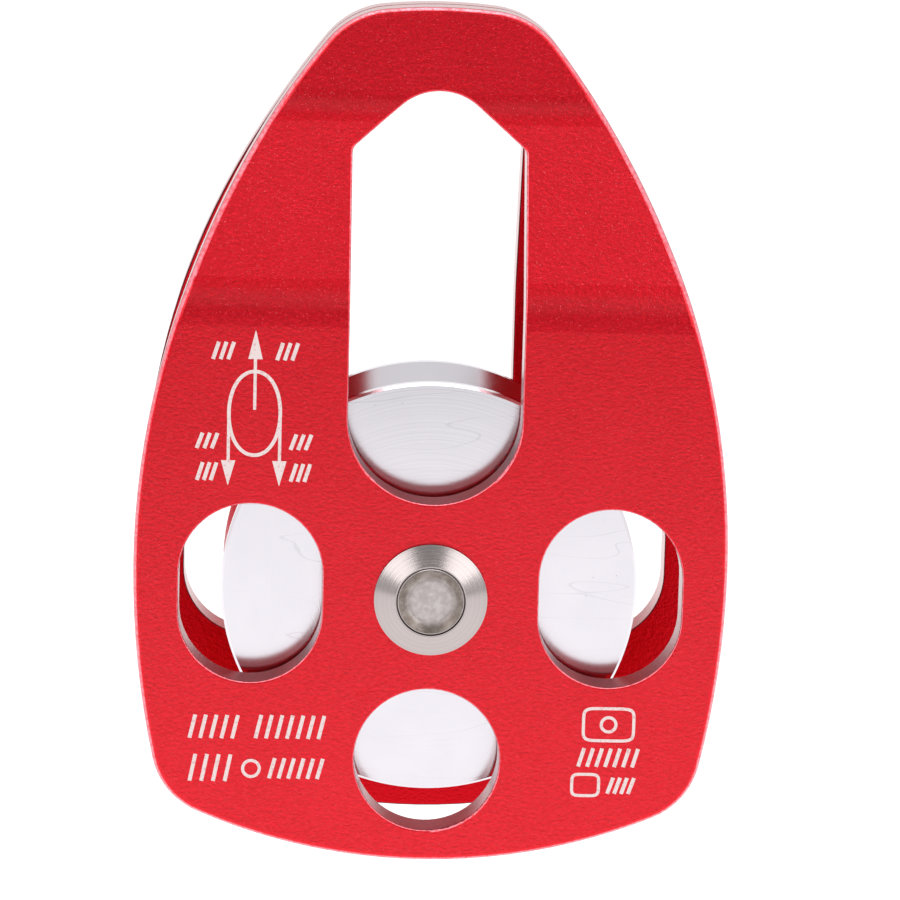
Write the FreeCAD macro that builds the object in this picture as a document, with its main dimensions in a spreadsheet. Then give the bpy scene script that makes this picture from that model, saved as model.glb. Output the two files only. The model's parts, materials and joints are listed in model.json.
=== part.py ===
import FreeCAD, Part
import math
import os
import Sketcher
from FreeCAD import Vector

# Swing-cheek rope pulley, in millimetres. The origin is the centre of the sheave. The axle runs
# along Y, the front cheek is on the -Y side, and the carabiner eye is up, at +Z.

DRIVING = {
    # Cheeks: plates that stand apart at the sheave and lean together at the carabiner eye.
    "cheek_thick": 6.5,
    "cheek_inner": 12.9,
    "eye_gap": 0.3,
    "bend_low": 44.1,
    "bend_high": 80.8,
    "bend_radius": 13.0,
    "half_width": 48.0,
    "widest_height": 4.7,
    "foot_height": -43.9,
    "foot_radius": 94.0,
    "foot_corner_radius": 12.6,
    "side_radius": 150.0,
    "flank_radius": 134.0,
    "shoulder_radius": 14.0,
    "crown_radius": 84.0,
    "crown_height": 94.3,
    "spare": 6.0,
    "rim_rounding": 1.0,
    "back_rounding": 0.5,
    # Openings through each cheek.
    "eye_half_width": 14.0,
    "eye_low": 29.6,
    "eye_shoulder": 70.9,
    "eye_top": 80.8,
    "eye_top_radius": 9.3,
    "eye_corner_radius": 1.8,
    "window_offset": 29.1,
    "window_height": 0.5,
    "window_radius": 11.6,
    "window_straight": 6.3,
    "foot_window_drop": 26.85,
    "foot_window_radius": 11.85,
    "window_rounding": 0.35,
    # Sheave with a round-bottomed rope groove, bored for two ball bearings.
    "sheave_radius": 34.0,
    "sheave_half": 11.2,
    "groove_radius": 8.0,
    "groove_depth": 11.0,
    "groove_half": 9.1,
    "sheave_chamfer": 0.4,
    "bore_shoulder": 12.3,
    "ring_groove_radius": 14.6,
    # Ball bearing: bore, outside and width, with the balls on a circle between the races.
    "bearing_bore": 6.0,
    "bearing_outside": 14.0,
    "bearing_width": 8.0,
    "inner_shoulder": 8.4,
    "outer_shoulder": 11.6,
    "pitch_radius": 10.0,
    "ball_radius": 2.35,
    "track_radius": 2.42,
    "ball_count": 8,
    "race_chamfer": 0.3,
    "cage_back": 2.95,
    "cage_reach": 1.3,
    "cage_thick": 1.2,
    "pocket_radius": 2.45,
    "seal_thick": 0.6,
    "seal_inset": 0.25,
    "seal_clearance": 0.15,
    "seal_seat": 0.5,
    # Rings and washers along the axle.
    "spacer_half": 1.6,
    "ring_thick": 1.1,
    "ring_inner": 12.2,
    "ring_opening": 9.0,
    "ring_slack": 0.1,
    "lug_reach": 8.6,
    "lug_width": 2.6,
    "lug_hole": 0.7,
    "washer_radius": 8.4,
    "washer_play": 0.1,
    # Axle pin with collars riveted on its ends.
    "pin_play": 0.05,
    "pin_end_radius": 5.47,
    "pin_edge": 0.15,
    "collar_bore": 5.6,
    "collar_base": 9.15,
    "collar_top": 5.8,
    "collar_rim": 0.35,
    "collar_height": 1.8,
    "dish_radius": 5.1,
    "dish_floor": 3.7,
    "dish_depth": 0.65,
}

doc = FreeCAD.newDocument("rope_pulley")
sheet = doc.addObject("Spreadsheet::Sheet", "sizes")
for line, (alias, number) in enumerate(DRIVING.items(), start=1):
    sheet.set(f"A{line}", alias)
    sheet.set(f"B{line}", str(number))
    sheet.setAlias(f"B{line}", alias)
doc.recompute()


class Size:
    """A length: its value now, and the spreadsheet expression that gives it."""

    def __init__(self, value, text):
        self.value, self.text = value, text

    def join(self, other, sign, value):
        text = other.text if isinstance(other, Size) else str(other)
        return Size(value, f"({self.text} {sign} {text})")

    def __add__(self, other):
        return self.join(other, "+", self.value + number_of(other))

    def __sub__(self, other):
        return self.join(other, "-", self.value - number_of(other))

    def __mul__(self, other):
        return self.join(other, "*", self.value * number_of(other))

    def __neg__(self):
        return Size(-self.value, f"(0 - {self.text})")


def number_of(length):
    return length.value if isinstance(length, Size) else length


def size(alias):
    return Size(float(sheet.get(alias)), f"sizes.{alias}")


def near(value):
    """A starting value that the sketch solver may move."""
    return Size(value, None)


AXIS = Size(0.0, "axis")
ON_EDGE = 0.001


class Bend:
    """A round side of a profile: its centre, its radius, and which way it turns (+1 is left)."""

    def __init__(self, across, up, radius, turn):
        self.across, self.up, self.radius, self.turn = across, up, radius, turn


def dimension(sketch, kind, where, length):
    if length.text is None:
        return
    if length is AXIS:
        axis = -2 if kind == "DistanceX" else -1
        sketch.addConstraint(Sketcher.Constraint("PointOnObject", *where, axis))
        return
    number = sketch.addConstraint(Sketcher.Constraint(kind, -1, 1, *where, length.value))
    sketch.setExpression(f"Constraints[{number}]", length.text)


def draw(sketch, corners, bends=None, smooth=(), upright=()):
    """A closed loop through the corners. Side i leaves corner i, and smooth corners are tangent."""
    bends = bends or {}
    count = len(corners)
    ends = []
    for i, (across, up) in enumerate(corners):
        start = Vector(across.value, up.value, 0)
        far_across, far_up = corners[(i + 1) % count]
        finish = Vector(far_across.value, far_up.value, 0)
        if i not in bends:
            ends.append((sketch.addGeometry(Part.LineSegment(start, finish)), 1, 2))
            continue
        bend = bends[i]
        middle = Vector(bend.across.value, bend.up.value, 0)
        circle = Part.Circle(middle, Vector(0, 0, 1), bend.radius.value)
        first, last = (start, finish) if bend.turn > 0 else (finish, start)
        angles = [math.atan2(p.y - middle.y, p.x - middle.x) for p in (first, last)]
        if angles[1] <= angles[0]:
            angles[1] += 2 * math.pi
        side = sketch.addGeometry(Part.ArcOfCircle(circle, *angles))
        ends.append((side, 1, 2) if bend.turn > 0 else (side, 2, 1))
    for i in range(count):
        before, after = ends[i - 1], ends[i]
        kind = "Tangent" if i in smooth else "Coincident"
        join = (before[0], before[2], after[0], after[1])
        sketch.addConstraint(Sketcher.Constraint(kind, *join))
    for i, (across, up) in enumerate(corners):
        where = (ends[i][0], ends[i][1])
        dimension(sketch, "DistanceX", where, across)
        dimension(sketch, "DistanceY", where, up)
    for i in upright:
        sketch.addConstraint(Sketcher.Constraint("Vertical", ends[i][0]))
    for i, bend in bends.items():
        side = ends[i][0]
        dimension(sketch, "DistanceX", (side, 3), bend.across)
        dimension(sketch, "DistanceY", (side, 3), bend.up)
        if bend.radius.text is not None:
            number = sketch.addConstraint(Sketcher.Constraint("Radius", side, bend.radius.value))
            sketch.setExpression(f"Constraints[{number}]", bend.radius.text)


def circle_at(sketch, across, up, radius):
    """A full circle."""
    middle = Vector(across.value, up.value, 0)
    side = sketch.addGeometry(Part.Circle(middle, Vector(0, 0, 1), radius.value))
    dimension(sketch, "DistanceX", (side, 3), across)
    dimension(sketch, "DistanceY", (side, 3), up)
    number = sketch.addConstraint(Sketcher.Constraint("Radius", side, radius.value))
    sketch.setExpression(f"Constraints[{number}]", radius.text)


def new_body(label):
    body = doc.addObject("PartDesign::Body", label)
    body.Label = label
    return body


def new_sketch(body, name, plane):
    sketch = body.newObject("Sketcher::SketchObject", name)
    found = [item for item in body.Origin.OriginFeatures if item.Role == plane]
    sketch.AttachmentSupport = [(found[0], "")]
    sketch.MapMode = "FlatFace"
    return sketch


def add_feature(body, kind, name, sketch, **settings):
    feature = body.newObject(kind, name)
    feature.Profile = sketch
    for setting, value in settings.items():
        setattr(feature, setting, value)
    sketch.Visibility = False
    return feature


def turn_profile(body, name, corners, bends=None, smooth=()):
    """A ring or a disc: a half section, along the axle and out from it, turned about Y."""
    sketch = new_sketch(body, name + "_section", "YZ_Plane")
    draw(sketch, corners, bends, smooth)
    return add_feature(
        body, "PartDesign::Revolution", name, sketch, ReferenceAxis=(sketch, ["H_Axis"]), Angle=360
    )


def turned(label, side, corners, bends=None, smooth=()):
    """A body turned about the axle. side is -1 for the front half, +1 for the rear half."""
    body = new_body(label)
    corners = [(mirrored(along, side), out) for along, out in corners]
    bends = {
        i: Bend(mirrored(b.across, side), b.up, b.radius, b.turn * side)
        for i, b in (bends or {}).items()
    }
    turn_profile(body, label + "_turning", corners, bends, smooth)
    return body


def mirrored(length, side):
    if side > 0 or length is AXIS:
        return length
    return near(-length.value) if length.text is None else -length


# ---------------------------------------------------------------- cheeks


def inside_both(first, first_radius, second, second_radius, radius, lean):
    """Centre of a circle that touches two larger circles from inside, on the lean side."""
    gap = math.dist(first, second)
    one, two = first_radius - radius, second_radius - radius
    along = (one * one - two * two + gap * gap) / (2 * gap)
    aside = math.sqrt(one * one - along * along)
    dx, dy = (second[0] - first[0]) / gap, (second[1] - first[1]) / gap
    picks = []
    for hand in (aside, -aside):
        picks.append((first[0] + along * dx - hand * dy, first[1] + along * dy + hand * dx))
    return max(picks, key=lambda p: p[0] + lean * p[1])


def touch_point(big, small, radius):
    """Where a small circle touches the big circle that holds it."""
    reach = math.dist(big, small)
    return [small[k] + (small[k] - big[k]) / reach * radius for k in (0, 1)]


def cheek_outline(sketch):
    """Egg shape: a shallow foot, bulging sides and a narrow crown, all of tangent arcs."""
    level, half_width = size("widest_height"), size("half_width")
    foot_radius, crown_radius = size("foot_radius"), size("crown_radius")
    side_radius, flank_radius = size("side_radius"), size("flank_radius")
    corner_radius, shoulder_radius = size("foot_corner_radius"), size("shoulder_radius")
    foot = (0.0, size("foot_height").value + foot_radius.value)
    crown = (0.0, size("crown_height").value - crown_radius.value)
    side = (half_width.value - side_radius.value, level.value)
    flank = (half_width.value - flank_radius.value, level.value)
    corner = inside_both(foot, foot_radius.value, side, side_radius.value, corner_radius.value, -1)
    shoulder = inside_both(flank, flank_radius.value, crown, crown_radius.value, shoulder_radius.value, 1)
    low, high = corner_radius.value, shoulder_radius.value
    touches = [touch_point(foot, corner, low), touch_point(side, corner, low)]
    widest = (near(half_width.value), level)
    touches_high = [touch_point(flank, shoulder, high), touch_point(crown, shoulder, high)]
    right = [(near(x), near(z)) for x, z in touches]
    right += [widest] + [(near(x), near(z)) for x, z in touches_high]
    left = [(mirrored(across, -1), up) for across, up in reversed(right)]
    arcs = [
        (near(corner[0]), near(corner[1]), corner_radius),
        (near(side[0]), near(side[1]), side_radius),
        (half_width - flank_radius, level, flank_radius),
        (near(shoulder[0]), near(shoulder[1]), shoulder_radius),
    ]
    bends = {i: Bend(*arc, 1) for i, arc in enumerate(arcs)}
    bends[4] = Bend(AXIS, size("crown_height") - crown_radius, crown_radius, 1)
    for i, (across, up, radius) in enumerate(reversed(arcs), start=5):
        bends[i] = Bend(mirrored(across, -1), up, radius, 1)
    bends[9] = Bend(AXIS, size("foot_height") + foot_radius, foot_radius, 1)
    draw(sketch, right + left, bends, smooth=range(10))


def surround(sketch):
    """A rectangle well outside the outline, so that a pocket between the two trims the plate."""
    spare = size("spare") * 2
    wide, top, foot = size("half_width") + spare, size("crown_height") + spare, size("foot_height") - spare
    draw(sketch, [(wide, foot), (wide, top), (-wide, top), (-wide, foot)])


def carabiner_eye(sketch):
    """Long eye: round foot, straight walls, slanting shoulders and a small round top."""
    wide, low, top = size("eye_half_width"), size("eye_low"), size("eye_top")
    top_radius, corner, shoulder = size("eye_top_radius"), size("eye_corner_radius"), size("eye_shoulder")
    # The slant runs between the corner arc and the top arc, tangent to both.
    across, rise = wide.value - corner.value, top.value - top_radius.value - shoulder.value
    lean = math.atan2(rise, -across)
    turn = lean - math.acos((corner.value - top_radius.value) / math.hypot(across, rise))
    dx, dz = math.cos(turn), math.sin(turn)
    slant_low = (across + corner.value * dx, shoulder.value + corner.value * dz)
    slant_high = (top_radius.value * dx, shoulder.value + rise + top_radius.value * dz)
    right = [(wide.value, low.value), (wide.value, shoulder.value), slant_low, slant_high]
    left = [(-x, z) for x, z in reversed(right)]
    corners = [(near(x), near(z)) for x, z in right + left]
    bends = {
        1: Bend(near(across), shoulder, corner, 1),
        3: Bend(AXIS, top - top_radius, top_radius, 1),
        5: Bend(near(-across), shoulder, corner, 1),
        7: Bend(AXIS, low, wide, 1),
    }
    draw(sketch, corners, bends, smooth=range(8), upright=(0, 6))


def side_window(sketch, hand):
    """Oblong window beside the axle: round ends and short straight sides."""
    middle, height = size("window_offset") * hand, size("window_height")
    radius, rise = size("window_radius"), size("window_straight") * 0.5
    right, left = middle.value + radius.value, middle.value - radius.value
    low, high = height.value - rise.value, height.value + rise.value
    corners = [(near(x), near(z)) for x, z in ((right, low), (right, high), (left, high), (left, low))]
    bends = {
        1: Bend(middle, height + rise, radius, 1),
        3: Bend(near(middle.value), height - rise, near(radius.value), 1),
    }
    draw(sketch, corners, bends, smooth=range(4), upright=(0, 2))


def cheek_section(sketch, side):
    """The plate seen from the side: upright, leaning inwards above the sheave, upright again."""
    inner, thick, bend = size("cheek_inner"), size("cheek_thick"), size("bend_radius")
    outer, eye_inner = inner + thick, size("eye_gap") * 0.5
    eye_outer = eye_inner + thick
    foot, top = size("foot_height") - size("spare"), size("crown_height") + size("spare")
    low, high, wide_bend = size("bend_low"), size("bend_high"), bend + thick
    low_centre = (inner.value - bend.value, low.value)
    high_centre = (eye_outer.value + bend.value, high.value)
    lean_back = math.atan2(high_centre[0] - low_centre[0], high_centre[1] - low_centre[1])
    span = math.dist(low_centre, high_centre)
    lean = math.asin((bend.value + wide_bend.value) / span) - lean_back
    out, up = math.cos(lean), math.sin(lean)

    def on_bend(centre, radius):
        return near(centre[0] + radius * out), near(centre[1] + radius * up)

    corners = [
        (outer, foot),
        (inner, foot),
        (near(inner.value), near(low.value)),
        on_bend(low_centre, bend.value),
        on_bend(high_centre, -wide_bend.value),
        (near(eye_inner.value), near(high.value)),
        (eye_inner, top),
        (eye_outer, top),
        (near(eye_outer.value), near(high.value)),
        on_bend(high_centre, -bend.value),
        on_bend(low_centre, wide_bend.value),
        (near(outer.value), near(low.value)),
    ]
    bends = {
        2: Bend(near(low_centre[0]), low, bend, 1),
        4: Bend(near(high_centre[0]), high, wide_bend, -1),
        8: Bend(near(high_centre[0]), high, bend, 1),
        10: Bend(near(low_centre[0]), low, wide_bend, -1),
    }
    corners = [(mirrored(across, side), rise) for across, rise in corners]
    for item in bends.values():
        item.across, item.turn = mirrored(item.across, side), item.turn * side
    draw(sketch, corners, bends, smooth=(2, 3, 4, 5, 8, 9, 10, 11), upright=(1, 5, 7, 11))


def traced(sketch, sides):
    """Some sides of a sketch as lines and arcs in the sketch's own plane."""
    return Part.Compound([sketch.Geometry[i].toShape() for i in sides])


def edges_along(feature, face_trace, loop_trace):
    """Names of the edges that lie on a face, seen along X, and on a loop, seen along Y."""
    names = []
    for number, edge in enumerate(feature.Shape.Edges, start=1):
        p = edge.valueAt((edge.FirstParameter + edge.LastParameter) / 2)
        off_face = face_trace.distToShape(Part.Vertex(p.y, p.z, 0))[0]
        off_loop = loop_trace.distToShape(Part.Vertex(p.x, p.z, 0))[0]
        if max(off_face, off_loop) < ON_EDGE:
            names.append(f"Edge{number}")
    return names


def round_edges(body, base, name, names, radius):
    fillet = body.newObject("PartDesign::Fillet", name)
    fillet.Base = (base, names)
    fillet.setExpression("Radius", radius.text)
    doc.recompute()
    return fillet


def cheek(label, side):
    """One joggled plate, trimmed to the outline, with its eye, windows and axle bore."""
    body = new_body(label)
    section = new_sketch(body, label + "_bends", "YZ_Plane")
    cheek_section(section, side)
    plate = add_feature(body, "PartDesign::Pad", label + "_plate", section, SideType="Symmetric")
    plate.setExpression("Length", ((size("half_width") + size("spare")) * 2).text)
    outline = new_sketch(body, label + "_outline", "XZ_Plane")
    cheek_outline(outline)
    loop = traced(outline, range(outline.GeometryCount))
    surround(outline)
    through = {"Type": "ThroughAll", "SideType": "Symmetric"}
    trim = add_feature(body, "PartDesign::Pocket", label + "_trim", outline, **through)
    doc.recompute()
    outer_face, inner_face = traced(section, range(7, 12)), traced(section, range(1, 6))
    rim = edges_along(trim, outer_face, loop)
    rounded = round_edges(body, trim, label + "_rim", rim, size("rim_rounding"))
    back = edges_along(rounded, inner_face, loop)
    round_edges(body, rounded, label + "_back_rim", back, size("back_rounding"))
    openings = new_sketch(body, label + "_openings", "XZ_Plane")
    carabiner_eye(openings)
    side_window(openings, 1)
    side_window(openings, -1)
    circle_at(openings, AXIS, -size("foot_window_drop"), size("foot_window_radius"))
    circle_at(openings, AXIS, AXIS, size("bearing_bore") + size("pin_play"))
    cut = add_feature(body, "PartDesign::Pocket", label + "_cut", openings, **through)
    doc.recompute()
    loops = traced(openings, range(openings.GeometryCount))
    edges = edges_along(cut, outer_face, loops)
    softened = round_edges(body, cut, label + "_window_edges", edges, size("window_rounding"))
    edges = edges_along(softened, inner_face, loops)
    round_edges(body, softened, label + "_window_back_edges", edges, size("window_rounding"))


# ---------------------------------------------------------------- sheave and axle


def sheave():
    """Wheel with a round-bottomed groove between two plain flanges, bored for the bearings."""
    rim, half, open_half = size("sheave_radius"), size("sheave_half"), size("groove_half")
    radius, chamfer = size("groove_radius"), size("sheave_chamfer")
    centre_up = rim - size("groove_depth") + radius
    reach = math.hypot(open_half.value, rim.value - centre_up.value)
    angle = math.atan2(rim.value - centre_up.value, open_half.value) - math.acos(radius.value / reach)
    seat = (near(radius.value * math.cos(angle)), near(centre_up.value + radius.value * math.sin(angle)))
    seat_radius, shoulder_radius = size("bearing_outside"), size("bore_shoulder")
    shoulder, groove_wall = size("spacer_half"), size("spacer_half") + size("bearing_width")
    groove_end = groove_wall + size("ring_thick") + size("ring_slack")
    ring_radius = size("ring_groove_radius")
    rear = [
        seat,
        (open_half, rim),
        (half - chamfer, rim),
        (half, rim - chamfer),
        (half, seat_radius),
        (groove_end, seat_radius),
        (groove_end, ring_radius),
        (groove_wall, ring_radius),
        (groove_wall, seat_radius),
        (shoulder, seat_radius),
        (shoulder, shoulder_radius),
    ]
    front = [(mirrored(along, -1), out) for along, out in reversed(rear)]
    last = len(rear + front) - 1
    bends = {last: Bend(AXIS, centre_up, radius, 1)}
    turn_profile(new_body("sheave"), "sheave_turning", rear + front, bends, smooth=(0, last))


def axle_pin():
    """Plain pin, stepped down for the collars, with dished ends that are spread by riveting."""
    base = size("cheek_inner") + size("cheek_thick") + size("washer_play")
    end, body_radius = base + size("collar_height"), size("bearing_bore")
    end_radius, edge = size("pin_end_radius"), size("pin_edge")
    rear = [
        (end - size("dish_depth"), AXIS),
        (end - size("dish_depth"), size("dish_floor")),
        (end, size("dish_radius")),
        (end, end_radius - edge),
        (end - edge, end_radius),
        (base, end_radius),
        (base, body_radius),
    ]
    front = [(mirrored(along, -1), out) for along, out in reversed(rear)]
    turn_profile(new_body("axle_pin"), "axle_pin_turning", rear + front)


def collar(label, side):
    """Conical ring outside the cheek, with a narrow recess round the pin end."""
    base = size("cheek_inner") + size("cheek_thick") + size("washer_play")
    end, recess = base + size("collar_height"), base + size("collar_height") * 0.5
    corners = [
        (base, size("pin_end_radius")),
        (base, size("collar_base")),
        (base + size("collar_rim"), size("collar_base")),
        (end, size("collar_top")),
        (end, size("collar_bore")),
        (recess, size("collar_bore")),
        (recess, size("pin_end_radius")),
    ]
    turned(label, side, corners)


def race_spacer():
    """Ring that keeps the two inner races apart."""
    half, bore, outside = size("spacer_half"), size("bearing_bore"), size("inner_shoulder")
    corners = [(-half, bore), (half, bore), (half, outside), (-half, outside)]
    turn_profile(new_body("race_spacer"), "race_spacer_turning", corners)


def thrust_washer(label, side):
    """Washer from the inner race to just short of the cheek."""
    start = size("spacer_half") + size("bearing_width")
    end, chamfer = size("cheek_inner") - size("washer_play"), size("race_chamfer")
    bore, outside = size("bearing_bore"), size("washer_radius")
    corners = [
        (start, bore),
        (end, bore),
        (end, outside - chamfer),
        (end - chamfer, outside),
        (start, outside),
    ]
    turned(label, side, corners)


# ---------------------------------------------------------------- ball bearings


def track_half_chord():
    """Half the width of a ball track where it meets the race shoulders."""
    drop = size("pitch_radius").value - size("inner_shoulder").value
    return math.sqrt(size("track_radius").value ** 2 - drop**2)


def bearing_span():
    start = size("spacer_half")
    end = start + size("bearing_width")
    middle = start + size("bearing_width") * 0.5
    return start, middle, end


def outer_race(label, side):
    """Outer ring: ball track inside, and a seat for a seal at each end."""
    start, middle, end = bearing_span()
    outside, shoulder, chamfer = size("bearing_outside"), size("outer_shoulder"), size("race_chamfer")
    seat = shoulder + size("seal_seat")
    seat_depth = size("seal_inset") + size("seal_thick")
    chord = track_half_chord()
    corners = [
        (start + chamfer, outside),
        (start, outside - chamfer),
        (start, seat),
        (start + seat_depth, seat),
        (start + seat_depth, shoulder),
        (near(middle.value - chord), shoulder),
        (near(middle.value + chord), shoulder),
        (end - seat_depth, shoulder),
        (end - seat_depth, seat),
        (end, seat),
        (end, outside - chamfer),
        (end - chamfer, outside),
    ]
    bends = {5: Bend(middle, size("pitch_radius"), size("track_radius"), -1)}
    turned(label, side, corners, bends)


def inner_race(label, side):
    """Inner ring, with its ball track outside."""
    start, middle, end = bearing_span()
    bore, shoulder, chamfer = size("bearing_bore"), size("inner_shoulder"), size("race_chamfer")
    chord = track_half_chord()
    corners = [
        (start, bore + chamfer),
        (start + chamfer, bore),
        (end - chamfer, bore),
        (end, bore + chamfer),
        (end, shoulder),
        (near(middle.value + chord), shoulder),
        (near(middle.value - chord), shoulder),
        (start, shoulder),
    ]
    bends = {5: Bend(middle, size("pitch_radius"), size("track_radius"), -1)}
    turned(label, side, corners, bends)


def seal(label, side, outboard):
    """Thin ring in the outer race's seat, just clear of the inner race."""
    start, middle, end = bearing_span()
    if outboard:
        far = end - size("seal_inset")
        close = far - size("seal_thick")
    else:
        close = start + size("seal_inset")
        far = close + size("seal_thick")
    inside = size("inner_shoulder") + size("seal_clearance")
    outside = size("outer_shoulder") + size("seal_seat")
    turned(label, side, [(close, inside), (far, inside), (far, outside), (close, outside)])


def balls(label, side):
    """A full set of balls on the pitch circle."""
    middle = bearing_span()[1] * side
    spheres = []
    for i in range(int(size("ball_count").value)):
        ball = doc.addObject("Part::Sphere", f"{label}_ball_{i}")
        ball.setExpression("Radius", size("ball_radius").text)
        turn = f"360 deg * {i} / sizes.ball_count"
        ball.setExpression("Placement.Base.x", f"sizes.pitch_radius * sin({turn})")
        ball.setExpression("Placement.Base.z", f"sizes.pitch_radius * cos({turn})")
        ball.setExpression("Placement.Base.y", middle.text)
        spheres.append(ball)
    group = doc.addObject("Part::Compound", label)
    group.Label = label
    group.Links = spheres


def ball_cage(label, side):
    """Crown cage: a ring on the inboard side, with fingers between the balls."""
    body = new_body(label)
    middle = bearing_span()[1]
    back, front = middle - size("cage_back"), middle + size("cage_reach")
    half_thick = size("cage_thick") * 0.5
    inside, outside = size("pitch_radius") - half_thick, size("pitch_radius") + half_thick
    corners = [(back, inside), (front, inside), (front, outside), (back, outside)]
    corners = [(mirrored(along, side), out) for along, out in corners]
    turn_profile(body, label + "_ring", corners)
    pocket_sketch = new_sketch(body, label + "_pocket_circle", "XY_Plane")
    circle_at(pocket_sketch, AXIS, middle * side, size("pocket_radius"))
    pocket = add_feature(body, "PartDesign::Pocket", label + "_pocket", pocket_sketch, Reversed=True)
    pocket.setExpression("Length", size("bearing_outside").text)
    pattern = body.newObject("PartDesign::PolarPattern", label + "_pockets")
    pattern.Originals = [pocket]
    pattern.Axis = ([item for item in body.Origin.OriginFeatures if item.Role == "Y_Axis"][0], [""])
    pattern.Angle = 360
    pattern.setExpression("Occurrences", "sizes.ball_count")
    body.Tip = pattern


def retaining_ring(label, side):
    """Internal snap ring: a C of flat steel with two drilled lugs at its opening."""
    body = new_body(label)
    outside = size("ring_groove_radius") - size("ring_slack")
    inside, opening = size("ring_inner"), size("ring_opening") * 0.5
    lug_reach, lug_width = size("lug_reach"), size("lug_width")
    lug_side = opening + lug_width

    def height_at(radius, across):
        return math.sqrt(radius.value**2 - across.value**2)

    corners = [
        (opening, near(-height_at(outside, opening))),
        (-opening, near(-height_at(outside, opening))),
        (-opening, -lug_reach),
        (-lug_side, -lug_reach),
        (-lug_side, near(-height_at(inside, lug_side))),
        (lug_side, near(-height_at(inside, lug_side))),
        (lug_side, -lug_reach),
        (opening, -lug_reach),
    ]
    bends = {0: Bend(AXIS, AXIS, outside, 1), 4: Bend(AXIS, AXIS, inside, -1)}
    sketch = new_sketch(body, label + "_outline", "XZ_Plane")
    draw(sketch, corners, bends)
    hole_across = opening + lug_width * 0.5
    hole_up = -(lug_reach + size("lug_hole") * 2)
    circle_at(sketch, hole_across, hole_up, size("lug_hole"))
    circle_at(sketch, -hole_across, hole_up, size("lug_hole"))
    start = size("spacer_half") + size("bearing_width") + size("ring_slack") * 0.5
    middle = start + size("ring_thick") * 0.5
    sketch.setExpression("AttachmentOffset.Base.z", (middle * -side).text)
    ring = add_feature(body, "PartDesign::Pad", label + "_plate", sketch, SideType="Symmetric")
    ring.setExpression("Length", size("ring_thick").text)


# ---------------------------------------------------------------- assembly

sheave()
axle_pin()
race_spacer()
for name, hand in (("front", -1), ("rear", 1)):
    cheek(f"{name}_cheek", hand)
    collar(f"{name}_collar", hand)
    thrust_washer(f"{name}_thrust_washer", hand)
    outer_race(f"{name}_outer_race", hand)
    inner_race(f"{name}_inner_race", hand)
    seal(f"{name}_outboard_seal", hand, True)
    seal(f"{name}_inboard_seal", hand, False)
    balls(f"{name}_balls", hand)
    ball_cage(f"{name}_ball_cage", hand)
    retaining_ring(f"{name}_retaining_ring", hand)
doc.recompute()

for item in doc.Objects:
    if "Invalid" in item.State or "Error" in item.State:
        raise RuntimeError(f"{item.Name} failed: {item.State}")

finished = [item for item in doc.Objects if item.TypeId in ("PartDesign::Body", "Part::Compound")]
os.makedirs("parts", exist_ok=True)
for item in finished:
    shape = item.Shape
    if shape.isNull() or not shape.isValid() or not shape.Solids:
        raise RuntimeError(f"{item.Label} has no valid solid")
for item in finished:
    item.Shape.exportStep(f"parts/{item.Label}.step")
    print(f"{item.Label}: {len(item.Shape.Solids)} solid(s), {item.Shape.Volume:.0f} mm3")
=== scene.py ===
# %% [markdown]
# # A rope pulley for tree work
# Two red side plates, the cheeks, hang from one carabiner and hold a wide grooved wheel, the sheave.
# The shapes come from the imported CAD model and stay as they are. This notebook gives each of them its
# finish, adds the pale printed marks, and sets up a plain pale studio with the camera in front.

import json
import math

import bpy
import numpy as np
from mathutils import Matrix, Vector


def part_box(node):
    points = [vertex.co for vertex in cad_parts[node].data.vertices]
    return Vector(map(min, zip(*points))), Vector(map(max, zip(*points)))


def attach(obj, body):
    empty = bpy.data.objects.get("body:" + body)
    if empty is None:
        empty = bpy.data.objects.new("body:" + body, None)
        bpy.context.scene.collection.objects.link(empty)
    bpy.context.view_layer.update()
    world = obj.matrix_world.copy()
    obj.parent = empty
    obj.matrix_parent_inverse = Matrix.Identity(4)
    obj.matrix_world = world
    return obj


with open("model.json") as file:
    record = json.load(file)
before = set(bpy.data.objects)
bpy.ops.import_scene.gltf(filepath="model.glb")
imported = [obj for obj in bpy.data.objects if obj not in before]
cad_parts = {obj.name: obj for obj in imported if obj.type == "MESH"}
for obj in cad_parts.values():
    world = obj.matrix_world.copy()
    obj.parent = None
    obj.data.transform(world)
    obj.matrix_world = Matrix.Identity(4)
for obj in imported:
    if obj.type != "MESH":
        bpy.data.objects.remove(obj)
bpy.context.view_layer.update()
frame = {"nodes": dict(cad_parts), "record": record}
nodes = frame["nodes"]
MM = 0.001

# %% [markdown]
# ## Places read from the model
# The wheel turns about the Y axis, which runs through the origin. The marks lie on the outer face of
# the front cheek, so its height comes from the cheek's own box. The other lengths are printed to show
# what the finishes and the studio below have to fit.

# %% Places read from the model
face_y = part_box("front_cheek")[0].y
foot_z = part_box("front_cheek")[0].z
sheave_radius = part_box("sheave")[1].x
collar_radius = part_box("front_collar")[1].x
print("outer face at y, mm:", round(face_y / MM, 2), " foot at z, mm:", round(foot_z / MM, 2))
print("sheave and collar radius, mm:", round(sheave_radius / MM, 2), round(collar_radius / MM, 2))

# %% [markdown]
# ## Writing node trees as sums
# A material could be wired by hand, one link at a time, but a bump that is a sum of three noises is
# much easier to read as a sum. `Signal` wraps one output socket and overloads the arithmetic, and
# `Tree.node` is the one method that makes a node: settings first, then the sockets.


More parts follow.
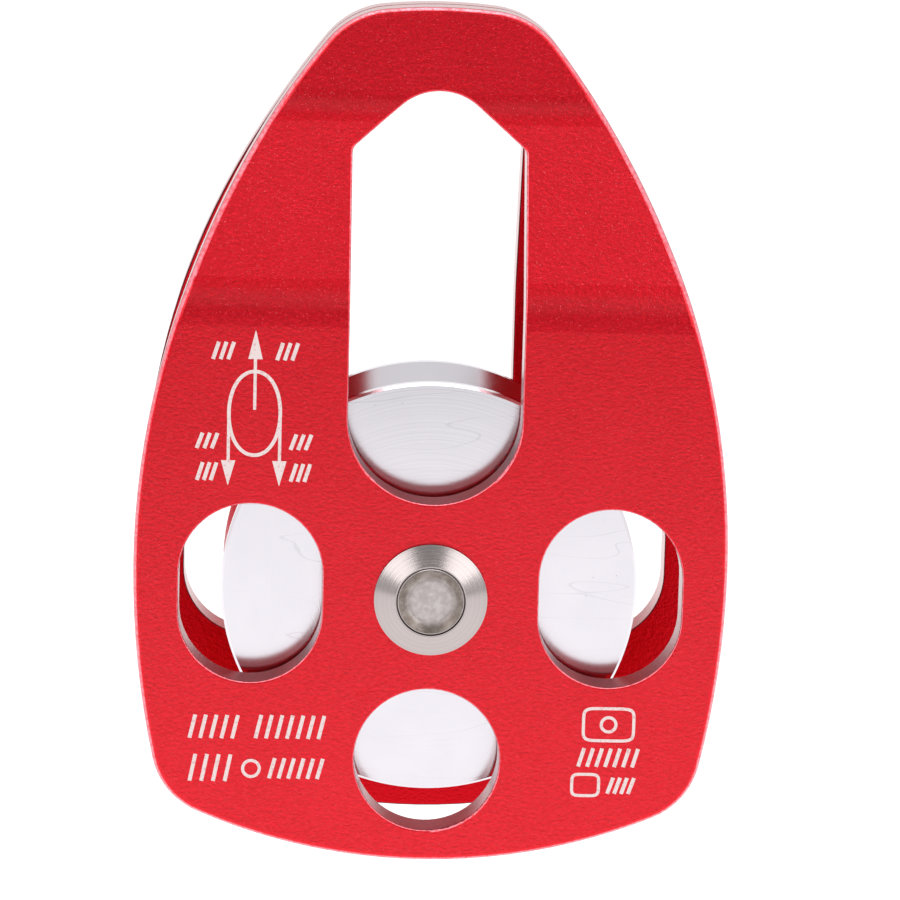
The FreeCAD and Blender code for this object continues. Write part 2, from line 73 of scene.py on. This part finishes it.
# %% Arithmetic on sockets
class Signal:
    """One output socket of a node tree. An expression on it adds Math nodes."""

    def __init__(self, tree, socket):
        self.tree, self.socket = tree, socket

    def maths(self, operation, *values):
        return self.tree.node("ShaderNodeMath", {"operation": operation}, dict(enumerate(values)))

    def __add__(self, other):
        return self.maths("ADD", self, other)

    def __mul__(self, other):
        return self.maths("MULTIPLY", self, other)

    def __sub__(self, other):
        return self.maths("SUBTRACT", self, other)

    def __rsub__(self, other):
        return self.maths("SUBTRACT", other, self)

    __radd__, __rmul__ = __add__, __mul__

    def step(self, low, high):
        """0 below low, 1 above high, and a smooth rise between them."""
        ends = {"From Min": low, "From Max": high}
        smooth = {"interpolation_type": "SMOOTHSTEP", "clamp": True}
        return self.tree.node("ShaderNodeMapRange", smooth, {"Value": self, **ends})


# %% One method for every node
class Tree:
    """A node tree being written."""

    def __init__(self, node_tree):
        self.nodes, self.links = node_tree.nodes, node_tree.links

    def feed(self, socket, value):
        """Links a Signal into a socket, or sets the socket to a plain value."""
        if isinstance(value, Signal):
            self.links.new(value.socket, socket)
        else:
            socket.default_value = value

    def node(self, kind, settings=None, sockets=None, out=None):
        """Adds a node, sets its settings, then feeds its sockets. Returns the output named out,
        or else the first."""
        made = self.nodes.new(kind)
        for name, value in (settings or {}).items():
            if name == "stops":
                set_stops(made.color_ramp, value)
            else:
                setattr(made, name, value)
        for key, value in (sockets or {}).items():
            self.feed(made.inputs[key] if isinstance(key, int) else shown(made.inputs, key), value)
        return Signal(self, shown(made.outputs, out))


def shown(sockets, name):
    """The first socket in use that has that name, or the first in use if name is None."""
    return next(s for s in sockets if s.enabled and name in (None, s.name))


def set_stops(ramp, stops):
    """Gives a colour ramp these (place, grey or colour) stops."""
    while len(ramp.elements) < len(stops):
        ramp.elements.new(1.0)
    for element, (place, colour) in zip(ramp.elements, stops):
        element.position = place
        rgb = colour if isinstance(colour, tuple) else (colour,) * 3
        element.color = (*rgb, 1.0)


# %% A finish is a tree with a Principled surface
class Finish(Tree):
    """A material being written: what is the same all over goes straight onto the surface's sockets."""

    def __init__(self, name, **uniform):
        self.material = bpy.data.materials.new(name)
        self.material.use_nodes = True
        super().__init__(self.material.node_tree)
        self.surface = self.nodes["Principled BSDF"]
        self.put(**uniform)
        self.place = self.node("ShaderNodeTexCoord", out="Object")

    def put(self, **values):
        """Feeds the surface: base_color=..., roughness=... and so on. Coat IOR keeps its capitals."""
        for name, value in values.items():
            key = name.replace("_", " ").title().replace("Ior", "IOR")
            self.feed(self.surface.inputs[key], value)

    def noise(self, size, detail=2.0, roughness=0.5, where=None, **settings):
        """Noise with features about size metres across, from 0 to 1."""
        sockets = {"Scale": 1.0 / size, "Detail": detail, "Roughness": roughness}
        sockets["Vector"] = where or self.place
        return self.node("ShaderNodeTexNoise", settings, sockets)

    def mixed(self, amount, colour, other):
        """colour where amount is 0, other where it is 1."""
        rgba = [(*c, 1.0) if isinstance(c, tuple) else c for c in (colour, other)]
        sockets = dict(zip(("Factor", "A", "B"), (amount, *rgba)))
        return self.node("ShaderNodeMix", {"data_type": "RGBA"}, sockets)

    def coordinate(self, axis, of=None):
        """One coordinate of a vector, the place on the object unless of says otherwise."""
        return self.node("ShaderNodeSeparateXYZ", sockets={"Vector": of or self.place}, out=axis)

    def normal(self):
        """Which way the surface faces."""
        return self.node("ShaderNodeTexCoord", out="Normal")

    def facing(self, axis):
        """How squarely the surface faces along an axis, from 0 to 1."""
        part = self.coordinate(axis, self.normal())
        return part.maths("ABSOLUTE", part)

    def reach(self, axis):
        """Normal times place along an axis: above 0 where the surface faces away from the middle."""
        return self.coordinate(axis, self.normal()) * self.coordinate(axis)

    def stretched(self, scale, turned=(0.0, 0.0, 0.0)):
        """The place, turned and scaled, so that a pattern on it is longer where scale is below 1."""
        sockets = {"Vector": self.place, "Rotation": turned, "Scale": scale}
        return self.node("ShaderNodeMapping", {}, sockets)

    def off_axis(self):
        """Distance from the axle's axis, in metres: the square root of x squared plus z squared."""
        x, z = self.coordinate("X"), self.coordinate("Z")
        total = x * x + z * z
        return total.maths("SQRT", total)

    def bump(self, height, depth):
        """Raises the surface by height times depth, in metres."""
        self.put(normal=self.node("ShaderNodeBump", {}, {"Height": height, "Distance": depth}))


# %% [markdown]
# ## Red anodised plate
# The cheeks are blasted, dyed red and sealed: a rough metal under a clear hard skin. The metal gives
# the deep red, and the skin is a coat, which pales the surface at a grazing angle. It is full on the
# outline's wall and on those window walls that face sideways, thin on the other window walls, under
# half on the outer faces, and absent on the inner faces.
#
# Three noises make the grain: soft pebbles, fine pits and tiny facets, whose paler pink is a painted
# glint. The walls are milled, not blasted, so a mask on the normal keeps the grain low there, and
# their darker red is partly painted shade inside the windows. The rounded rims on the outer side are
# paler, partly from wear and partly as a painted highlight. The inner faces are a darker red, and
# their rims near black: painted shade between the cheeks.


# %% Red anodised plate
DYE_DEEP = (0.74, 0.005, 0.015)
DYE_CLEAR = (0.87, 0.009, 0.025)
DYE_BRIGHT = (0.92, 0.012, 0.03)
FACET_GLINT = (1.0, 0.22, 0.26)
RIM_HIGHLIGHT_AND_WEAR = (1.0, 0.30, 0.36)
INNER_FACE_PAINTED_SHADE = (0.63, 0.007, 0.015)
INNER_RIM_PAINTED_SHADE = (0.10, 0.008, 0.012)
MILLED_DEEP_AND_SHADE = (0.36, 0.006, 0.014)
MILLED_CLEAR_AND_SHADE = (0.46, 0.011, 0.021)
WINDOW_WALLS_WITHIN = 30 * MM
OUTLINE_BEYOND = 36 * MM


def red_anodised():
    finish = Finish("red_anodised", metallic=1.0, coat_roughness=0.22, coat_ior=1.6)

    # Masks from the normal: outer side, blasted faces, and the rounded rims in between.
    square_on = finish.facing("Y")
    outward = finish.reach("Y").step(-0.2 * MM, 0.0)
    blasted = square_on.step(0.3, 0.5)
    rounded = square_on.step(0.12, 0.4) * (1.0 - square_on.step(0.8, 0.93))

    # How far a wall's plane lies outward of the axle: far only on the plate's own outline.
    outline = (finish.reach("X") + finish.reach("Z")).step(WINDOW_WALLS_WITHIN, OUTLINE_BEYOND)
    thin = 0.1
    skin = thin + (1.0 - thin) * (outline + (1.0 - outline) * finish.facing("X").step(0.45, 1.0))

    # The patterns.
    wide_stretch = finish.stretched((0.5, 1.0, 1.0))
    slight_stretch = finish.stretched((0.7, 1.0, 1.0))
    wrinkles = finish.noise(0.42 * MM, detail=3.0, roughness=0.6, where=wide_stretch)
    pebbles = finish.noise(0.5 * MM, detail=3.0, roughness=0.6, where=slight_stretch)
    pits = finish.noise(0.26 * MM, detail=1.0)
    cloud = finish.noise(16 * MM, detail=3.0)
    facets = finish.noise(0.2 * MM, detail=0.0).step(0.76, 0.82)
    worn = finish.noise(0.6 * MM, detail=2.0).step(0.35, 0.6)

    outer_colour = finish.mixed(wrinkles.step(0.3, 0.7), DYE_DEEP, DYE_CLEAR)
    outer_colour = finish.mixed(cloud.step(0.35, 0.75) * 0.25, outer_colour, DYE_BRIGHT)
    # The facets' paler pink is a painted glint.
    outer_colour = finish.mixed(facets * 0.6, outer_colour, FACET_GLINT)
    # The outer rims' paler pink: partly wear, partly a painted highlight.
    outer_colour = finish.mixed(rounded * (0.5 + worn * 0.5), outer_colour, RIM_HIGHLIGHT_AND_WEAR)
    # Inner faces and their rims: a darker red and near black, painted shade between the cheeks.
    shaded = finish.mixed(rounded, INNER_FACE_PAINTED_SHADE, INNER_RIM_PAINTED_SHADE)
    plate = finish.mixed(outward, shaded, outer_colour)
    # The walls' darker red is partly their own milled red, partly painted shade inside the windows.
    milled_and_shaded = finish.mixed(worn, MILLED_DEEP_AND_SHADE, MILLED_CLEAR_AND_SHADE)
    finish.put(
        base_color=finish.mixed(blasted, milled_and_shaded, plate),
        roughness=0.36 - blasted * 0.07 - facets * 0.12 + pits * 0.06,
        coat_weight=outward * blasted * 0.4 + (1.0 - blasted) * skin,
    )
    grain = pebbles + pits * 0.35 + facets * 0.3
    finish.bump(grain * (blasted * 0.85 + 0.15), 0.10 * MM)
    return finish.material


# %% [markdown]
# ## Turned metal
# A lathe leaves fine rings that are centred on the axle. A ring's height depends only on the distance
# from the axis, so the pattern is a noise in one dimension, read at that distance. The same function
# serves the sheave, the collars and the pin, the bearing steel and the washers, with other depths.
#
# The pin's end is dished inside its collar. The dish has its own mottled finish, out to its rim, and
# its sloping ring is painted darker as shade. A dark seam runs just outside the rim.


# %% Turned metal
def rings(finish, pitch, detail=3.0):
    """Random rings about the axle, roughly pitch metres apart: noise in one dimension."""
    sockets = {"W": finish.off_axis(), "Scale": 1.0 / pitch, "Detail": detail, "Roughness": 0.6}
    return finish.node("ShaderNodeTexNoise", {"noise_dimensions": "1D"}, sockets)


def scratches(finish, size, narrow):
    """Thin wandering lines where a stretched noise passes through its middle value."""
    wander = finish.noise(size, detail=1.0, where=finish.stretched((0.16, 1.0, 1.0), (0.0, 0.3, 0.0)))
    middle = wander - 0.5
    return 1.0 - middle.maths("ABSOLUTE", middle).step(0.0, narrow)


POLISHED_LOW = (0.81, 0.78, 0.83)
POLISHED_HIGH = (0.84, 0.81, 0.86)
DUST_GREY = (0.30, 0.28, 0.29)


def turned_aluminium():
    finish = Finish("turned_aluminium", metallic=1.0)
    cut = rings(finish, 0.5 * MM)
    smear = finish.noise(9 * MM, detail=2.0)
    marks = scratches(finish, 5 * MM, 0.006)
    polished = finish.mixed(smear.step(0.35, 0.65), POLISHED_LOW, POLISHED_HIGH)
    dust = finish.noise(0.35 * MM, detail=0.0).step(0.84, 0.88)
    finish.put(
        base_color=finish.mixed(marks * 0.08 + dust * 0.7 + cut * 0.05, polished, DUST_GREY),
        roughness=0.13 + smear * 0.06 + marks * 0.04,
    )
    finish.bump(cut + marks * 0.07, 0.0035 * MM)
    return finish.material


END_CENTRE = (2.8 * MM, 4.5 * MM)
END_RIM = (5.15 * MM, 5.3 * MM)
SEAM_FROM = (5.45 * MM, 5.49 * MM)
SEAM_TO = (5.58 * MM, 5.62 * MM)
SEAM_DARK = (0.03, 0.025, 0.02)


def turned_stainless():
    finish = Finish("turned_stainless", metallic=1.0)
    cut = rings(finish, 0.16 * MM, detail=2.0)
    coarse = rings(finish, 0.7 * MM)
    off_axis = finish.off_axis()
    punched = 1.0 - off_axis.step(*END_RIM)
    centre = 1.0 - off_axis.step(*END_CENTRE)
    mottle = finish.noise(1.6 * MM, detail=4.0, roughness=0.65)
    dents = finish.noise(0.5 * MM, detail=2.0)
    blotches = mottle.step(0.35, 0.7)
    # The dish's sloping ring: painted shade, darker brown, with the dish's own blotches.
    shaded_slope = finish.mixed(blotches, (0.19, 0.155, 0.135), (0.33, 0.285, 0.26))
    flat = finish.mixed(blotches, (0.52, 0.46, 0.455), (0.70, 0.635, 0.635))
    bright = finish.mixed(coarse, (0.46, 0.40, 0.395), (0.60, 0.535, 0.525))
    seam = off_axis.step(*SEAM_FROM) * (1.0 - off_axis.step(*SEAM_TO))
    bright = finish.mixed(seam * 0.9, bright, SEAM_DARK)
    finish.put(
        base_color=finish.mixed(punched, bright, finish.mixed(centre, shaded_slope, flat)),
        roughness=0.2 + punched * (0.12 + mottle * 0.12),
    )
    turned = (1.0 - punched) * (cut + coarse * 0.6)
    finish.bump(turned + punched * (mottle * 2.2 + dents * 0.8), 0.012 * MM)
    return finish.material


# %% [markdown]
# ## Bearing parts, washers, seals and cages
# These sit deep inside and show only through the bores and when the cheek is swung open. Ground
# steel is nearly a mirror, rubber is dark with a dusty bloom, nylon is milky, and the retaining rings
# are blackened spring steel.


# %% Bearing parts
def ground_steel():
    finish = Finish("ground_bearing_steel", metallic=1.0)
    smear = finish.noise(3 * MM, detail=3.0)
    finish.put(
        base_color=finish.mixed(smear, (0.70, 0.70, 0.71), (0.80, 0.80, 0.81)),
        roughness=0.12 + smear * 0.1,
    )
    finish.bump(rings(finish, 0.2 * MM), 0.002 * MM)
    return finish.material


def washer_steel():
    finish = Finish("turned_washer_steel", metallic=1.0)
    cut = rings(finish, 0.3 * MM)
    finish.put(
        base_color=finish.mixed(cut, (0.52, 0.51, 0.50), (0.68, 0.67, 0.66)),
        roughness=0.3 + cut * 0.08,
    )
    finish.bump(cut, 0.01 * MM)
    return finish.material


def seal_rubber():
    finish = Finish("seal_rubber", specular_ior_level=0.4)
    bloom = finish.noise(2.5 * MM, detail=4.0)
    finish.put(
        base_color=finish.mixed(bloom.step(0.4, 0.8), (0.012, 0.012, 0.013), (0.045, 0.044, 0.043)),
        roughness=0.55 + bloom * 0.2,
    )
    finish.bump(finish.noise(0.12 * MM), 0.01 * MM)
    return finish.material


def cage_nylon():
    finish = Finish("cage_nylon", subsurface_weight=0.15, subsurface_scale=0.5 * MM)
    cloud = finish.noise(2 * MM, detail=2.0)
    finish.put(
        base_color=finish.mixed(cloud, (0.72, 0.70, 0.62), (0.82, 0.80, 0.73)),
        roughness=0.42 + cloud * 0.1,
    )
    finish.bump(finish.noise(0.2 * MM), 0.008 * MM)
    return finish.material


def spring_steel():
    finish = Finish("blackened_spring_steel", metallic=1.0)
    grain = finish.noise(0.4 * MM, detail=3.0)
    finish.put(
        base_color=finish.mixed(grain, (0.06, 0.06, 0.065), (0.13, 0.13, 0.135)),
        roughness=0.38 + grain * 0.15,
    )
    finish.bump(grain, 0.006 * MM)
    return finish.material


# %% [markdown]
# ## Finishes onto the CAD nodes
# The record names a material slot for each node, so one loop gives all of them their finish.

# %% Give every CAD node its finish
finishes = {
    "red_anodised_plate": red_anodised(),
    "turned_aluminium": turned_aluminium(),
    "turned_stainless": turned_stainless(),
    "bearing_steel": ground_steel(),
    "washer_steel": washer_steel(),
    "seal_rubber": seal_rubber(),
    "cage_nylon": cage_nylon(),
    "spring_steel": spring_steel(),
}
for part in frame["record"]["subparts"]:
    slots = nodes[part["node"]].data.materials
    slots.clear()
    slots.append(finishes[part["material_slot"]])
print("finishes:", sorted(finishes))

# %% [markdown]
# ## Printed marks
# The front cheek carries pale printed marks. The load diagram, a loop with three arrows, is drawn
# plainly, and rows of slanted dashes and simple frames take the place of all lettering. Ink has a
# thickness, so each stroke is a thin closed slab: a path, and a width along it. Each stroke of a mark
# stands a hair prouder than the one before, so that two strokes may cross without sharing a plane.

# %% Strokes of ink
INK = 0.03 * MM
SUNK = 0.02 * MM
STROKE = 0.62 * MM
FINE_STROKE = 0.5 * MM
LOOP_STROKE = 0.58 * MM
LAYER = 0.001 * MM


def slab(path, width, closed=False):
    """A stroke along path, an array of (x, z): each point moves half the width to either side along
    the path's normal, and the two edges are raised by INK and sunk by SUNK to close the slab."""
    path = np.asarray(path, float)
    ahead = np.roll(path, -1, 0) - np.roll(path, 1, 0) if closed else np.gradient(path, axis=0)
    along = ahead / np.linalg.norm(ahead, axis=1, keepdims=True)
    aside = np.stack([-along[:, 1], along[:, 0]], 1) * np.broadcast_to(width, len(path))[:, None] / 2
    edges = [path + aside, path - aside, path - aside, path + aside]
    heights = [-INK, -INK, SUNK, SUNK]
    corners = [np.insert(edge, 1, face_y + height, axis=1) for edge, height in zip(edges, heights)]
    points = np.stack(corners, 1).reshape(-1, 3)
    last = len(path) if closed else len(path) - 1
    here = 4 * np.arange(last)[:, None] + np.arange(4)
    there = np.roll(here, -1, 1)
    onward = 4 * len(path)
    quads = np.stack([here, there, (there + 4) % onward, (here + 4) % onward], -1).reshape(-1, 4)
    ends = [] if closed else [[3, 2, 1, 0], [4 * last + k for k in range(4)]]
    return points, quads.tolist() + ends


def printed(name, strokes, material, body):
    """Joins strokes into one mesh that rides on a body."""
    points, faces, count = [], [], 0
    for layer, (stroke_points, stroke_faces) in enumerate(strokes):
        faces += [[count + corner for corner in face] for face in stroke_faces]
        points.append(stroke_points - (0.0, layer * LAYER, 0.0))
        count += len(stroke_points)
    mesh = bpy.data.meshes.new(name)
    mesh.from_pydata(np.concatenate(points).tolist(), [], faces)
    mesh.validate()
    mesh.materials.append(material)
    piece = bpy.data.objects.new(name, mesh)
    bpy.context.scene.collection.objects.link(piece)
    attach(piece, body)
    print(name, "strokes:", len(strokes), "faces:", len(faces))


# %% Shapes that the marks are made of
def loop(centre, half_width, half_height, power=2.0, width=STROKE):
    """A closed ring: the superellipse |x/a|^p + |z/b|^p = 1, round at power 2 and boxy above it."""
    turn = np.linspace(0.0, 2 * np.pi, 72, endpoint=False)
    c, s = np.cos(turn), np.sin(turn)
    x = centre[0] + half_width * np.sign(c) * np.abs(c) ** (2 / power)
    z = centre[1] + half_height * np.sign(s) * np.abs(s) ** (2 / power)
    return slab(np.stack([x, z], 1), width, closed=True)


def line(start, end, width=STROKE):
    """A straight stroke."""
    return slab([start, end], width)


def arrow(start, tip, head=4.6 * MM, spread=2.3 * MM):
    """A thin stem and a head that narrows from spread to a point."""
    start, tip = np.array(start), np.array(tip)
    way = (tip - start) / np.linalg.norm(tip - start)
    neck = tip - way * head
    overlap, point = 0.2 * MM, 0.08 * MM
    stem = line(start, neck + way * overlap, FINE_STROKE)
    return [stem, slab([neck, tip], [spread, point])]


def dashes(left, right, low, high, count, lean=0.9 * MM):
    """A row of slanted dashes between left and right."""
    middles = np.linspace(left + lean, right - lean, count)
    return [line((x - lean / 2, low), (x + lean / 2, high)) for x in middles]


# %% Pale ink
def pale_ink():
    finish = Finish("pale_ink", metallic=0.2)
    wear = finish.noise(0.35 * MM, detail=3.0)
    finish.put(
        base_color=finish.mixed(wear.step(0.5, 0.75), (0.83, 0.70, 0.69), (0.70, 0.42, 0.42)),
        roughness=0.5 + wear * 0.15,
    )
    finish.bump(wear, 0.02 * MM)
    return finish.material


ink = pale_ink()

# %% Load diagram
loop_x, loop_z, loop_half, loop_reach = -28.9 * MM, 30.0 * MM, 4.1 * MM, 6.8 * MM
diagram = [loop((loop_x, loop_z), loop_half, loop_reach, power=2.1, width=LOOP_STROKE)]
diagram += arrow((loop_x, loop_z + 0.6 * MM), (loop_x, 43.4 * MM))
for side in (-1, 1):
    flank = loop_x + side * loop_half
    diagram += arrow((flank, loop_z), (flank, 18.3 * MM), head=4 * MM)
    beside = loop_x + side * 7.5 * MM
    diagram += dashes(beside - 2.1 * MM, beside + 2.1 * MM, 24.2 * MM, 26.7 * MM, 3)
    diagram += dashes(beside - 2.0 * MM, beside + 2.0 * MM, 19.0 * MM, 21.9 * MM, 3)
    above = loop_x + side * 5.1 * MM
    diagram += dashes(above - 2.1 * MM, above + 2.1 * MM, 38.7 * MM, 41.5 * MM, 3)
printed("printed_load_diagram", diagram, ink, "front_cheek")

# %% Rows of dashes at the lower left, and the small panel at the lower right
rows = dashes(-39.0 * MM, -30.3 * MM, -23.7 * MM, -19.8 * MM, 5)
rows += dashes(-28.3 * MM, -16.3 * MM, -23.6 * MM, -19.7 * MM, 7)
rows += dashes(-38.9 * MM, -31.4 * MM, -30.9 * MM, -26.4 * MM, 4)
rows += [loop((-28.5 * MM, -28.7 * MM), 1.35 * MM, 1.35 * MM, width=FINE_STROKE)]
rows += dashes(-26.0 * MM, -16.4 * MM, -30.3 * MM, -26.9 * MM, 6)
printed("printed_rope_rows", rows, ink, "front_cheek")

panel = [loop((29.5 * MM, -20.4 * MM), 4.1 * MM, 2.7 * MM, power=6.0, width=FINE_STROKE)]
panel += [loop((29.5 * MM, -20.4 * MM), 1.2 * MM, 1.2 * MM, width=FINE_STROKE)]
panel += dashes(24.3 * MM, 34.9 * MM, -27.5 * MM, -24.4 * MM, 7)
panel += [loop((26.0 * MM, -30.6 * MM), 2.2 * MM, 1.8 * MM, power=5.0, width=FINE_STROKE)]
panel += dashes(29.2 * MM, 34.4 * MM, -32.0 * MM, -29.3 * MM, 4)
printed("printed_panel", panel, ink, "front_cheek")

# %% [markdown]
# ## Studio
# Metal shows what is around it. The floor gives the cheeks a bright reflection from below, and it
# fades towards the camera, so that the upper part of each cheek turns darker. It lies below the
# lowest place that the front cheek reaches when it swings right down. The air is bright behind the
# pulley and at its sides, and dark in front.
#
# Two softboxes stand in front, left and right of the camera. A smaller and weaker one stands between
# them, so that the middle stays darker and the turned collar shows it as a streak. A fourth hangs
# overhead and lights the rims.

# %% Floor
FLOOR_HALF = 4.0
FLOOR_GAP = 10 * MM
floor_z = -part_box("front_cheek")[1].z - FLOOR_GAP
floor_corners = [(x * FLOOR_HALF, y * FLOOR_HALF, floor_z) for x, y in ((-1, -1), (1, -1), (1, 1), (-1, 1))]
floor_mesh = bpy.data.meshes.new("studio_floor")
floor_mesh.from_pydata(floor_corners, [], [(0, 1, 2, 3)])
floor = bpy.data.objects.new("studio_floor", floor_mesh)
bpy.context.scene.collection.objects.link(floor)

# %% Paper on the floor
# Along Y, the glow rises from none at FAR to FRONT_GLOW at NEAR. From PAST on it rises again, to
# BACK_GLOW under the pulley and behind it.
FAR, NEAR, PAST = -1.18, -0.57, -0.27
FRONT_GLOW = (0.77,) * 3
BACK_GLOW = (0.88,) * 3
paper = Finish("studio_paper", roughness=0.9, base_color=(0.25, 0.25, 0.25, 1.0), emission_strength=1.0)
in_front = paper.mixed(paper.coordinate("Y").step(FAR, NEAR), (0.0,) * 3, FRONT_GLOW)
behind = paper.coordinate("Y").step(PAST, 0.0)
paper.put(emission_color=paper.mixed(behind, in_front, BACK_GLOW))
floor_mesh.materials.append(paper.material)

# %% Air: bright behind and at the sides, dark in front
DIM_AIR = 0.12
world = bpy.data.worlds.new("studio_air")
bpy.context.scene.world = world
world.use_nodes = True
air = Tree(world.node_tree)
direction = air.node("ShaderNodeTexCoord", out="Generated")
rearward = air.node("ShaderNodeSeparateXYZ", sockets={"Vector": direction}, out="Y")
air_glow = DIM_AIR + (1.0 - DIM_AIR) * rearward.step(-0.87, -0.62)
air.feed(world.node_tree.nodes["Background"].inputs["Color"], air_glow)


# %% Softboxes
def softbox(name, place, size, glow):
    """An area light at place that faces the wheel. Its power is pi times its area times its glow."""
    lamp = bpy.data.lights.new(name, "AREA")
    lamp.shape, (lamp.size, lamp.size_y) = "RECTANGLE", size
    lamp.energy = math.pi * size[0] * size[1] * glow
    box = bpy.data.objects.new(name, lamp)
    box.location = place
    box.rotation_euler = Vector(place).to_track_quat("Z", "Y").to_euler()
    bpy.context.scene.collection.objects.link(box)


softbox("overhead_softbox", (0.0, -0.05, 0.8), (0.7, 0.5), 1.7)
softbox("middle_softbox", (0.0, -1.0, 0.36), (0.44, 0.30), 0.7)
for side in (-1, 1):
    softbox("side_softbox", (side * 0.62, -0.78, 0.42), (0.72, 0.54), 1.55)

# %% [markdown]
# ## Camera
# A long lens from in front, a little above and a hair to the left, tilted by a degree and a half. The
# camera's axes are worked out from those angles: back towards the camera, then right, then up.

# %% Camera
azimuth, elevation, roll = (math.radians(angle) for angle in (-2.329, 11.083, 1.541))
distance = 656.95 * MM
target = Vector((3.27, 0.0, 20.85)) * MM
level = math.cos(elevation)
back = Vector((math.sin(azimuth) * level, -math.cos(azimuth) * level, math.sin(elevation)))
level_right = (-back).cross(Vector((0.0, 0.0, 1.0))).normalized()
level_up = level_right.cross(-back)
right = level_right * math.cos(roll) + level_up * math.sin(roll)
up = level_up * math.cos(roll) - level_right * math.sin(roll)
lens = bpy.data.cameras.new("camera")
lens.sensor_width, lens.lens = 36.0, 159.03
lens.clip_start, lens.clip_end = 0.01, 20.0
camera = bpy.data.objects.new("camera", lens)
axes = Matrix((right, up, back)).transposed().to_4x4()
camera.matrix_world = Matrix.Translation(target + back * distance) @ axes
bpy.context.scene.collection.objects.link(camera)
bpy.context.scene.camera = camera
bpy.context.scene.view_settings.view_transform = "Standard"
print("camera at, mm:", [round(c / MM, 1) for c in camera.matrix_world.translation])
